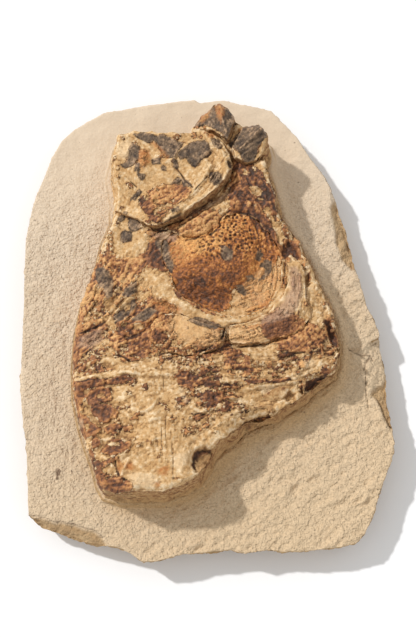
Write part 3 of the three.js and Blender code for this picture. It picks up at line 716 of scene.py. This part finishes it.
def dense_copy(node, size):
    """A CAD node's shape as an evenly divided mesh with cells of size mm."""
    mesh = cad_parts[node].data.copy()
    welded = bmesh.new()
    welded.from_mesh(mesh)
    bmesh.ops.remove_doubles(welded, verts=welded.verts, dist=1e-6)
    welded.to_mesh(mesh)
    welded.free()
    source = bpy.data.objects.new("source", mesh)
    bpy.context.scene.collection.objects.link(source)
    remesh = source.modifiers.new("remesh", "REMESH")
    remesh.mode = "VOXEL"
    remesh.voxel_size = size * MM
    dense = bpy.data.meshes.new_from_object(source.evaluated_get(bpy.context.evaluated_depsgraph_get()))
    bpy.data.objects.remove(source)
    return dense


def read(mesh):
    """A mesh's points and normals, in mm, and its edges."""
    return (numbers(mesh.vertices, "co", 3) / MM, numbers(mesh.vertex_normals, "vector", 3),
            numbers(mesh.edges, "vertices", 2, np.int64))


def relaxed(co, edges, share, rounds, back=0.0):
    """Points drawn towards their neighbours, each by its share, and pushed back against shrinking."""
    a, b = edges.T
    total = len(co)
    count = np.bincount(a, minlength=total) + np.bincount(b, minlength=total)
    for way in [1, -back] * rounds:
        sums = [np.bincount(a, co[b, n], total) + np.bincount(b, co[a, n], total) for n in range(3)]
        co = co + way * share[:, None] * (np.stack(sums, 1) / count[:, None] - co)
    return co


def flatten_hidden(mesh, levels):
    """Refills the hidden flat faces at the given heights with few triangles."""
    shape = bmesh.new()
    shape.from_mesh(mesh)
    for level in levels:
        flat = [f for f in shape.faces if all(abs(v.co.z - level * MM) < 1e-6 for v in f.verts)]
        if len(flat) < 50:
            continue
        up = sum(f.normal.z for f in flat) > 0
        bmesh.ops.delete(shape, geom=flat, context="FACES")
        rim = [e for e in shape.edges if e.is_boundary]
        bmesh.ops.triangle_fill(shape, edges=rim, use_dissolve=False, use_beauty=True,
                                normal=(0, 0, 1 if up else -1))
    shape.to_mesh(mesh)
    shape.free()


def finish_piece(mesh, co, marks, levels, node, material):
    """Makes a node's stand-in from points in mm, marks for its material and its flat faces' heights."""
    mesh.vertices.foreach_set("co", (co * MM).ravel())
    for name, values in marks.items():
        mesh.attributes.new(name, "FLOAT", "POINT").data.foreach_set("value", values.astype(np.float32))
    flatten_hidden(mesh, levels)
    mesh.polygons.foreach_set("use_smooth", np.ones(len(mesh.polygons), bool))
    mesh.materials.clear()
    mesh.materials.append(material)
    piece = bpy.data.objects.new(node + "_stone", mesh)
    bpy.context.scene.collection.objects.link(piece)
    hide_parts(node)
    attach(piece, "root")


# -------- relief and markings of the fish
def streaks(co, size, reach):
    """Noise drawn out along the grain of the bone, as strong as the grain is there."""
    turn = [[x, y, s * math.cos(math.radians(a)), s * math.sin(math.radians(a))] for x, y, a, s in FLOW]
    way = np.stack(blended(picture_place(co), turn, FLOW_REACH), 1)
    strength = np.linalg.norm(way, axis=1)
    way = np.c_[way / np.maximum(strength, 1e-6)[:, None], np.zeros(len(co))]
    total = sum(layered(co + along * way, size, 2, 20, 0.7) for along in np.linspace(-reach, reach, 9))
    return total / 2.8 * np.clip(strength, 0, 1)


def fish_marks(co):
    """What the fish's material needs to know at each point, by name, and its lumps and broken cracks."""
    uv = picture_place(co)
    wobble = wander(co, 3.6, 3, (50, 53), 0.7)
    place = uv + wobble
    bone, dark, rough = blended(uv, COVER, COVER_REACH) / 100
    mixed = 0.15 + 2.8 * bone * (1 - bone)
    dark = 0.22 + 0.42 * dark
    for patches, cover, darkness in SHIFTS:
        share = step(patch_depth(place, patches), -1.4, 1.4)
        bone = bone + cover * share
        dark = dark + darkness * share
    drawn = streaks(co, 2.0, 4.5)
    lumps = creased(co, 6.5, 3, 40)
    broken = np.clip(0.75 + 0.9 * layered(co, 7, 2, 97), 0.1, 1.2)
    grain = 0.55 * layered(co, 5.0, 3, 44, 0.7) + 0.45 * lumps + drawn
    fleck = 0.6 * layered(co, 5, 3, 63, 0.7) + 0.7 * drawn
    dark += rough * (0.25 * step(-fleck, 0.3, 0.55) - 0.35 * step(fleck, 0.35, 0.6))
    cracks = broken * line_strength(uv + 0.4 * wobble, CRACKS)
    marks = {name: patch_depth(place, patches) for name, patches in PAINTED.items()}
    marks |= {
        "bone": 1.6 * (bone - 0.5) + 0.9 * grain * mixed,
        "dark": dark + (0.12 + 0.2 * rough) * layered(co, 10, 4, 60, 0.7),
        "slate": np.minimum(patch_depth(place, SLATE_PATCHES) + 0.8, 1 - patch_depth(place, FLECKS)),
        "crack_and_shadow": np.maximum(cracks, 0.8 * line_strength(uv + 0.1 * wobble, SCRATCHES)),
        "rough": rough,
        "drawn": drawn,
    }
    return marks, lumps, broken


def fish_relief(co, marks, lumps, broken):
    """How far in mm the fish's upper surface stands above the guide at each point."""
    place = picture_place(co) + wander(co, 4, 2, (70, 72))
    bent = place + 3.0 * wander(co, 9, 2, (74, 76))
    rough = marks["rough"]
    bony = step(marks["bone"], -0.12, 0.12)
    lumpy = (0.25 + 0.75 * rough) * (0.55 + 0.45 * bony) * (1 - 0.65 * step(marks["slate"], -0.5, 1.5))
    relief = 0.6 * layered(co, 12, 2, 80) + lumpy * (0.8 * lumps + 0.55 * creased(co, 3.0, 2, 84)) - SUNK
    relief += 0.9 * marks["drawn"] * (0.4 + 0.6 * rough)
    relief += 0.75 * bony * (0.5 + 0.5 * rough)
    relief += SCALE_HEIGHT * step(patch_depth(place, SCALES), -1.0, 1.0)
    for height, reach, line in LEDGES:
        k, distance, side = to_line(bent, line, 3 * reach)
        ends = np.minimum(*(np.linalg.norm(bent[k] - end, axis=1) for end in (line[:2], line[-2:])))
        fall = np.where(side < 0, distance / reach, (distance / LEDGE_FACE) ** 2)
        relief[k] += height * np.exp(-fall) * step(ends, 0, LEDGE_ENDS)
    for height, width, line in RIDGE_LINES:
        k, distance, _ = to_line(place, line, 3 * width)
        relief[k] += height * np.exp(-((distance / width) ** 2))
    for width, depth, line in CRACKS + SCRATCHES:
        k, distance, _ = to_line(place, line, 4 * width)
        relief[k] -= depth * broken[k] * np.exp(-((distance / (1.1 * width)) ** 2))
    for x, y, across, down, turn, height in MOUNDS:
        c, s = math.cos(math.radians(turn)), math.sin(math.radians(turn))
        u, v = (place - np.array([x, y])).T
        relief += height * np.exp(-(((u * c + v * s) / across) ** 2) - ((v * c - u * s) / down) ** 2)
    for depth, soft, outline in HOLES:
        relief -= depth * step(patch_depth(place, [outline]), -0.5 * soft, soft)
    return relief


def hidden_levels(node):
    """Heights of a fish piece's hidden flat faces: its underside, and on the body the bones' seats."""
    seats = [seat for _, seat, _, _ in FISH_PIECES.values()]
    underside = FISH_PIECES[node][1] + SEAT_GAP
    return [SLAB_TOP + level for level in [underside, *(seats[1:] if node == "fish_body" else [])]]


def pin(co, normals, levels, size):
    """Puts the points of flat faces at their exact heights, and tells which points are still loose."""
    loose = np.ones(len(co), bool)
    for level in levels:
        at_level = (np.abs(co[:, 2] - level) < 0.6 * size) & (np.abs(normals[:, 2]) > 0.8)
        co[at_level, 2] = level
        loose &= ~at_level
    return loose


def fish_piece(node, guide, lip):
    """One dressed piece of the fish, from its CAD node."""
    size, _, slot, gloss = FISH_PIECES[node]
    levels = hidden_levels(node)
    mesh = dense_copy(node, size)
    co, normals, edges = read(mesh)
    loose = pin(co, normals, levels, size)
    top = step(normals[:, 2], 0.3, 0.7) * loose
    soft = relaxed(co, edges, RELAX_SHARE * loose, RELAX_ROUNDS, RELAX_BACK)
    height = look_up(guide, soft)
    known = ~np.isnan(height)
    target = np.where(known & (np.abs(height - soft[:, 2]) < 4), height, soft[:, 2])
    soft[:, 2] += top * (target - soft[:, 2])

    marks, lumps, broken = fish_marks(soft)
    pits = 1 - step(cells(soft * np.array([1, 1, 0.3]), PIT_SPACING, 3), 0.18, 0.5)
    marks["pits"] = pits * step(marks["rough"], 0.35, 0.9) * (node == "gill_cover")
    edge = 1 - np.nan_to_num(look_up(lip, soft), nan=0.0)
    worn = step(edge, 0.12, 0.6) * (1.8 + 1.3 * layered(soft, 7, 2, 95))
    below = np.where(known, height, 1e3) - soft[:, 2]
    upper = np.maximum(top, 1 - step(below, 0.5, 7)) * loose
    soft[:, 2] += upper * (fish_relief(soft, marks, lumps, broken) - PIT_DEPTH * marks["pits"] - worn)
    rugged = 1.1 * layered(soft, 9, 4, 90, 0.62) * np.maximum(1 - top, step(edge, 0.2, 0.5))
    low = step(-soft[:, 2], -SLAB_TOP - 9, -SLAB_TOP - 4)
    lit = step(-(normals[:, :2] @ LIGHT_RUN[:2]), 0.15, 0.5)
    overlap = (1 - top) * (0.4 + 0.5 * low - 1.8 * lit * low)
    soft += (loose * (rugged * (1 - 0.7 * low) + overlap))[:, None] * normals * np.array([1, 1, 0.2])

    # Walls that face the sun are painted with the top's colours, the others with the darker wall colours:
    # painted light and shade by side.
    marks["top"] = np.maximum(top, lit)
    sunk = relaxed(soft, edges, np.full(len(soft), RELAX_SHARE), RELAX_ROUNDS) - soft
    marks["hollow"] = np.clip(np.einsum("ij,ij->i", sunk, normals) / HOLLOW_DEPTH, -1, 1)
    shades = AMBER_SHADES if node == "gill_cover" else BONE_SHADES
    finish_piece(mesh, soft, marks, levels, node, fossil_material(node + "_finish", gloss, shades))


# -------- the slab
def slab_relief(co):
    """How far in mm the slab's worked face stands above the CAD, and the marks for its material."""
    uv = picture_place(co)
    along = co @ np.array([0.80, 0.60, 0])
    across = co @ np.array([-0.60, 0.80, 0])
    combed = np.stack([along / 3.0, across + 2.5 * layered(co, 16, 2, 102), co[:, 2]], 1)
    lower_right = step(uv[:, 0] + 0.6 * uv[:, 1], 400, 520)
    worked = 0.15 + 0.85 * step(uv[:, 1], 120, 260)
    stipple = (0.3 + 0.12 * lower_right) * layered(co, 2.6, 2, 100, 0.8)
    waves = (0.4 + lower_right) * layered(combed, 4.2, 2, 104, 0.6)
    patchy = np.clip(0.7 + 0.8 * layered(co, 14, 2, 112), 0.1, 1.4)
    relief = 0.4 * layered(co, 22, 2, 108) + 0.5 * layered(co, 8, 2, 106) * (0.5 + 0.5 * worked)
    relief += worked * (stipple + patchy * waves)
    place = uv + 1.5 * wander(co, 8, 3, (116, 118))
    chip = step(patch_depth(place, SLAB_CHIPS), -1, 3)
    crease = line_strength(place, SLAB_CREASES)
    relief += chip * (1.2 * layered(co, 9, 4, 120, 0.6) - 2.5) - 1.2 * crease
    stain = patch_depth(place, SLAB_STAINS)
    return relief, {"worked": worked, "chip": chip, "stain": stain, "crack_and_shadow": crease}


def slab_piece(covered):
    """The dressed slab, from its CAD node and the grid of where the fish covers it."""
    mesh = dense_copy("matrix_slab", SLAB_CELL)
    co, normals, edges = read(mesh)
    under = (co[:, 2] < 0.6 * SLAB_CELL) & (normals[:, 2] < -0.8)
    co[under, 2] = 0
    seat = (np.abs(co[:, 2] - SLAB_TOP) < 0.6 * SLAB_CELL) & (normals[:, 2] > 0.95)
    seat &= look_up(covered, co) > 0.99
    co[seat, 2] = SLAB_TOP
    loose = ~(under | seat)
    soft = relaxed(co, edges, RELAX_SHARE * loose, RELAX_ROUNDS, RELAX_BACK)
    top = step(normals[:, 2], 0.3, 0.8) * loose
    relief, marks = slab_relief(soft)
    foot = blur(covered, FOOT_REACH)
    near_fish = look_up(foot, soft)
    shaded = look_up(foot, soft - FOOT_SHIFT * np.array([*LIGHT_RUN[:2], 0]))
    lit = step(near_fish - shaded, 0.02, 0.12) * loose
    soft[:, 2] -= 0.85 * lit * np.maximum(soft[:, 2] - SLAB_TOP, 0)
    soft[:, 2] += top * relief
    layers = soft * np.array([1, 1, 4])
    rugged = 1.1 * layered(soft, 12, 4, 110, 0.65) + 0.45 * layered(layers, 6, 3, 114)
    out = (1 - top) * loose * np.where(near_fish < 0.02, rugged - 0.6, 1.2)
    soft += out[:, None] * normals * np.array([1, 1, 0])
    marks["top"] = top
    # Warm painted shade on the fish's shadow side, stronger towards the bottom.
    marks["foot"] = shaded * (0.45 + 0.55 * step(picture_place(soft)[:, 1], 300, 430))
    finish_piece(mesh, soft, marks, [0, SLAB_TOP], "matrix_slab", slab_material())


# -------- materials
class Shader:
    """A node material, built with short calls. Sockets and plain values can be mixed freely."""

    def __init__(self, name):
        self.material = bpy.data.materials.new(name)
        self.material.use_nodes = True
        self.tree = self.material.node_tree
        self.place = self.add("TexCoord").outputs["Object"]

    def add(self, kind, sockets=None, **settings):
        """A new node with its settings, and with a value or link for each of these sockets."""
        node = self.tree.nodes.new("ShaderNode" + kind)
        for name, value in settings.items():
            setattr(node, name, value)
        for name, value in (sockets or {}).items():
            self.put(node.inputs[name], value)
        return node

    def put(self, socket, value):
        if isinstance(value, bpy.types.NodeSocket):
            self.tree.links.new(value, socket)
        elif isinstance(value, tuple) and socket.type == "RGBA":
            socket.default_value = (*value, 1)
        else:
            socket.default_value = value

    def surface(self, **sockets):
        for name, value in sockets.items():
            self.put(self.tree.nodes["Principled BSDF"].inputs[name.replace("_", " ")], value)

    def mark(self, name):
        return self.add("Attribute", attribute_name=name).outputs["Fac"]

    def times(self, a, b):
        return self.add("Math", {0: a, 1: b}, operation="MULTIPLY").outputs[0]

    def total(self, first, *others):
        for other in others:
            first = self.add("Math", {0: first, 1: other}, operation="ADD").outputs[0]
        return first

    def noise(self, size, detail, rough):
        """Noise from 0 to 1 with lumps about size mm across."""
        sockets = {"Vector": self.place, "Scale": 1 / (size * MM), "Detail": detail, "Roughness": rough}
        return self.add("TexNoise", sockets).outputs["Fac"]

    def spread(self, value, factor):
        """Noise made to swing factor times as far, round 0."""
        return self.times(self.total(value, -0.5), factor)

    def ramp(self, value, low, high, start=0.0, end=1.0):
        """From start to end while the value goes from low to high, eased."""
        sockets = {0: value, 1: low, 2: high, 3: start, 4: end}
        return self.add("MapRange", sockets, interpolation_type="SMOOTHSTEP").outputs[0]

    def shades(self, value, stops):
        """A colour that goes through stops of (value, colour)."""
        node = self.add("ValToRGB", {0: value})
        elements = node.color_ramp.elements
        while len(elements) < len(stops):
            elements.new(0.5)
        for element, (position, color) in zip(elements, stops):
            element.position = position
            element.color = (*color, 1)
        return node.outputs["Color"]

    def mix(self, share, a, b):
        return self.add("Mix", {0: share, 6: a, 7: b}, data_type="RGBA").outputs[2]

    def lay(self, color, paint, value, low, high, most=1.0):
        """A colour with paint laid over it, more and more while the value goes from low to high."""
        return self.mix(self.ramp(value, low, high, 0.0, most), color, paint)

    def scaled(self, color, factor):
        return self.add("VectorMath", {0: color, "Scale": factor}, operation="SCALE").outputs[0]

    def bumps(self, *heights):
        """The normal over bumps laid one on another, each (height from 0 to 1, how many mm that makes)."""
        sockets = {}
        for height, distance in heights:
            sockets |= {"Height": height, "Distance": distance * MM, "Strength": 1.0}
            sockets["Normal"] = self.add("Bump", sockets).outputs["Normal"]
        return sockets["Normal"]


CHALK = (0.78, 0.59, 0.37)
CREAM = (0.62, 0.40, 0.195)
CREAM_DEEP = (0.50, 0.285, 0.115)
STAIN = (0.30, 0.155, 0.065)
MATRIX_SHADES = [(0.15, CHALK), (0.42, CREAM), (0.68, CREAM_DEEP), (0.95, STAIN)]
BONE_SHADES = [(0.0, (0.66, 0.37, 0.15)), (0.22, (0.49, 0.225, 0.082)), (0.42, (0.31, 0.128, 0.05)),
               (0.62, (0.185, 0.073, 0.032)), (0.82, (0.105, 0.047, 0.027)), (1.0, (0.055, 0.032, 0.022))]
AMBER_SHADES = [(0.0, (0.68, 0.35, 0.12)), (0.22, (0.53, 0.22, 0.06)), (0.42, (0.35, 0.125, 0.035)),
                (0.62, (0.19, 0.070, 0.027)), (0.82, (0.10, 0.044, 0.024)), (1.0, (0.055, 0.032, 0.022))]
SLATE_SHADES = [(0.1, (0.42, 0.27, 0.155)), (0.4, (0.19, 0.125, 0.074)), (0.65, (0.10, 0.068, 0.043)),
                (0.9, (0.05, 0.037, 0.028))]
WALL_SHADES = [(0.2, (0.52, 0.33, 0.155)), (0.5, (0.38, 0.205, 0.082)), (0.75, (0.20, 0.09, 0.04))]
RUST = (0.42, 0.15, 0.04)
OCHRE = (0.50, 0.25, 0.09)
MAUVE = (0.50, 0.32, 0.205)
MAUVE_DEEP = (0.33, 0.19, 0.115)
TAN = (0.58, 0.31, 0.125)
TAN_LIGHT = (0.74, 0.46, 0.215)
UMBER = (0.10, 0.048, 0.028)
SHADE = (0.035, 0.02, 0.012)
LIMESTONE = (0.68, 0.545, 0.40)
LIMESTONE_WARM = (0.66, 0.495, 0.315)
LIMESTONE_DEEP = (0.50, 0.355, 0.21)
EDGE_WARM = (0.52, 0.35, 0.18)
EDGE_DEEP = (0.38, 0.235, 0.11)
WARM_FOOT_SHADE = (0.50, 0.31, 0.14)
FLOOR_WHITE = (0.9, 0.9, 0.9)


def fossil_material(name, gloss, bone_shades):
    """Cream matrix and brown bone, parted by the marks stored on the mesh."""
    s = Shader(name)
    fine = s.noise(2.0, 2, 0.6)
    middle = s.noise(4.5, 3, 0.6)
    speck = s.noise(1.1, 1, 0.5)
    ragged = s.times(s.total(s.spread(fine, 1.4), s.spread(speck, 0.6)),
                     s.ramp(s.mark("rough"), 0.1, 0.8, 0.45, 1.1))
    hollow = s.mark("hollow")
    # Hollows painted darker: partly dirt, partly painted shade.
    dirt_and_hollow_shade = s.times(hollow, 0.28)
    drawn = s.times(s.mark("drawn"), 0.26)
    matrix = s.shades(s.total(middle, s.spread(fine, 0.8), drawn, dirt_and_hollow_shade), MATRIX_SHADES)
    bone_color = s.shades(s.total(s.mark("dark"), s.times(ragged, 0.4), dirt_and_hollow_shade), bone_shades)
    bone = s.ramp(s.total(s.mark("bone"), ragged, s.times(hollow, 0.2)), -0.1, 0.1)
    color = s.mix(bone, matrix, bone_color)

    pixels = s.total(s.spread(middle, 4.0), s.times(ragged, 0.9))
    slate = s.shades(s.total(middle, s.spread(middle, 0.6), s.spread(fine, 0.8), dirt_and_hollow_shade), SLATE_SHADES)
    paints = [  # mark, paint, half the width of its soft edge in pixels, greatest share
        ("chalk_and_highlight", CHALK, 2.0, 0.45),
        ("tan", s.lay(TAN, TAN_LIGHT, fine, 0.4, 0.6), 3.0, 0.65),
        ("mauve", s.lay(MAUVE, MAUVE_DEEP, middle, 0.35, 0.65), 2.5, 0.8),
        ("slate", slate, 0.8, 0.94),
        ("rust", s.lay(RUST, OCHRE, fine, 0.4, 0.6), 2.0, 0.85),
    ]
    for mark, paint, soft, most in paints:
        color = s.lay(color, paint, s.total(s.mark(mark), pixels), -soft, soft, most)
    color = s.lay(color, UMBER, s.total(s.mark("pits"), s.spread(fine, 1.0)), 0.1, 0.6, 0.7)
    # Painted shade in the bone's crevices, with some dirt, drawn towards umber.
    crevice = s.ramp(s.total(hollow, s.spread(fine, 0.8)), 0.3, 0.8, 0.0, 0.6)
    color = s.mix(s.times(crevice, s.ramp(bone, 0, 1, 0.6, 1.0)), color, UMBER)
    # Dark cracks, and painted shadow along undercuts and the hollow's lip.
    color = s.lay(color, SHADE, s.mark("crack_and_shadow"), 0.35, 0.9, 0.85)

    wall = s.shades(s.total(middle, s.spread(fine, 1.5)), WALL_SHADES)
    height = s.add("SeparateXYZ", {0: s.place}).outputs["Z"]
    # The walls' feet take the same warm painted shade as the stone round them.
    wall = s.lay(WARM_FOOT_SHADE, wall, s.total(height, s.spread(middle, 0.02)), 0.024, 0.040)
    # The top mark also covers the walls facing the sun; the rest keep the darker wall colours as painted
    # shade.
    color = s.lay(wall, color, s.mark("top"), 0.1, 0.55)
    swing = s.times(s.spread(speck, 1.0), s.ramp(bone, 0, 1, 0.5, 1.1))
    shine = s.times(bone, s.ramp(fine, 0.3, 0.7, 1.0, 0.5))
    bumpy = s.times(fine, s.ramp(bone, 0, 1, 0.6, 1.0))
    s.surface(Base_Color=s.scaled(color, s.total(swing, 1.0)), Roughness=s.ramp(shine, 0, 1, 0.9, gloss),
              Specular_IOR_Level=0.28, Normal=s.bumps((bumpy, 1.0), (bone, 0.2), (speck, 0.25)))
    return s.material


def slab_material():
    """Pale limestone with stippled tool marks, darker on its broken edge."""
    s = Shader("limestone")
    broad = s.noise(45, 3, 0.5)
    grain = s.noise(1.9, 1, 0.5)
    dots = s.noise(1.1, 1, 0.5)
    worked = s.mark("worked")
    axes = s.add("SeparateXYZ", {0: s.place}).outputs
    down = s.total(s.times(axes["Y"], -3.5), s.times(axes["X"], 1.5), s.spread(broad, 0.8))
    color = s.lay(LIMESTONE, LIMESTONE_WARM, down, -0.4, 0.6)
    color = s.mix(s.times(s.ramp(grain, 0.5, 0.75, 0, 0.4), worked), color, LIMESTONE_DEEP)
    edge = s.lay(EDGE_WARM, EDGE_DEEP, s.noise(6, 4, 0.6), 0.35, 0.65)
    color = s.lay(edge, color, s.mark("top"), 0.1, 0.7)
    # Warm painted shade round the fish's foot, on its shadow side.
    color = s.lay(color, WARM_FOOT_SHADE, s.mark("foot"), 0.0, 0.6, 0.8)
    color = s.lay(color, UMBER, s.noise(2.4, 1, 0.3), 0.77, 0.81, 0.5)
    color = s.mix(s.times(s.mark("chip"), 0.85), color, edge)
    # Seams, and painted shadow along the chips' upper edges.
    color = s.lay(color, UMBER, s.total(s.mark("crack_and_shadow"), s.spread(grain, 0.6)), 0.4, 1.0, 0.6)
    color = s.lay(color, UMBER, s.total(s.mark("stain"), s.spread(grain, 4.0)), -1, 1, 0.7)
    swing = s.times(s.spread(dots, 0.45), s.total(worked, 0.2))
    s.surface(Base_Color=s.scaled(color, s.total(swing, 0.99)), Roughness=0.95, Specular_IOR_Level=0.2,
              Normal=s.bumps((s.times(grain, worked), 1.2), (s.times(dots, worked), 0.9)))
    return s.material


# -------- camera, floor and light
def make_camera():
    data = bpy.data.cameras.new("camera")
    data.lens = LENS
    data.sensor_width = SENSOR
    data.clip_end = 10
    camera = bpy.data.objects.new("camera", data)
    camera.location = Vector(CAMERA_AT) * MM
    camera.rotation_euler = (TILT, 0, 0)
    bpy.context.scene.collection.objects.link(camera)
    bpy.context.scene.camera = camera


def make_floor():
    shader = Shader("floor")
    shader.surface(Base_Color=FLOOR_WHITE, Roughness=0.9)
    mesh = bpy.data.meshes.new("floor")
    corners = [(FLOOR_REACH * x, FLOOR_REACH * y, 0) for x, y in ((-1, -1), (1, -1), (1, 1), (-1, 1))]
    mesh.from_pydata(corners, [], [(0, 1, 2, 3)])
    mesh.materials.append(shader.material)
    floor = bpy.data.objects.new("floor", mesh)
    bpy.context.scene.collection.objects.link(floor)


def make_light():
    data = bpy.data.lights.new("sun", "SUN")
    data.energy = SUN_POWER
    data.angle = SUN_WIDTH
    sun = bpy.data.objects.new("sun", data)
    sun.rotation_euler = Vector(LIGHT_RUN).to_track_quat("-Z", "Y").to_euler()
    bpy.context.scene.collection.objects.link(sun)
    world = bpy.data.worlds.new("soft_light")
    world.use_nodes = True
    background = world.node_tree.nodes["Background"]
    background.inputs["Color"].default_value = (1, 1, 1, 1)
    background.inputs["Strength"].default_value = SKY_POWER
    bpy.context.scene.world = world
    bpy.context.scene.view_settings.view_transform = "Standard"


# -------- the scene
make_camera()
make_floor()
make_light()

heights, covered = cast_guide()
fish_top = np.any([~np.isnan(grid) for grid in heights.values()], axis=0).astype(float)
fish_lip = blur(fish_top, LIP_REACH)
for node, grid in heights.items():
    fish_piece(node, blur(grid, 2.0 if node == "fish_body" else 1.5), fish_lip)
slab_piece(covered)
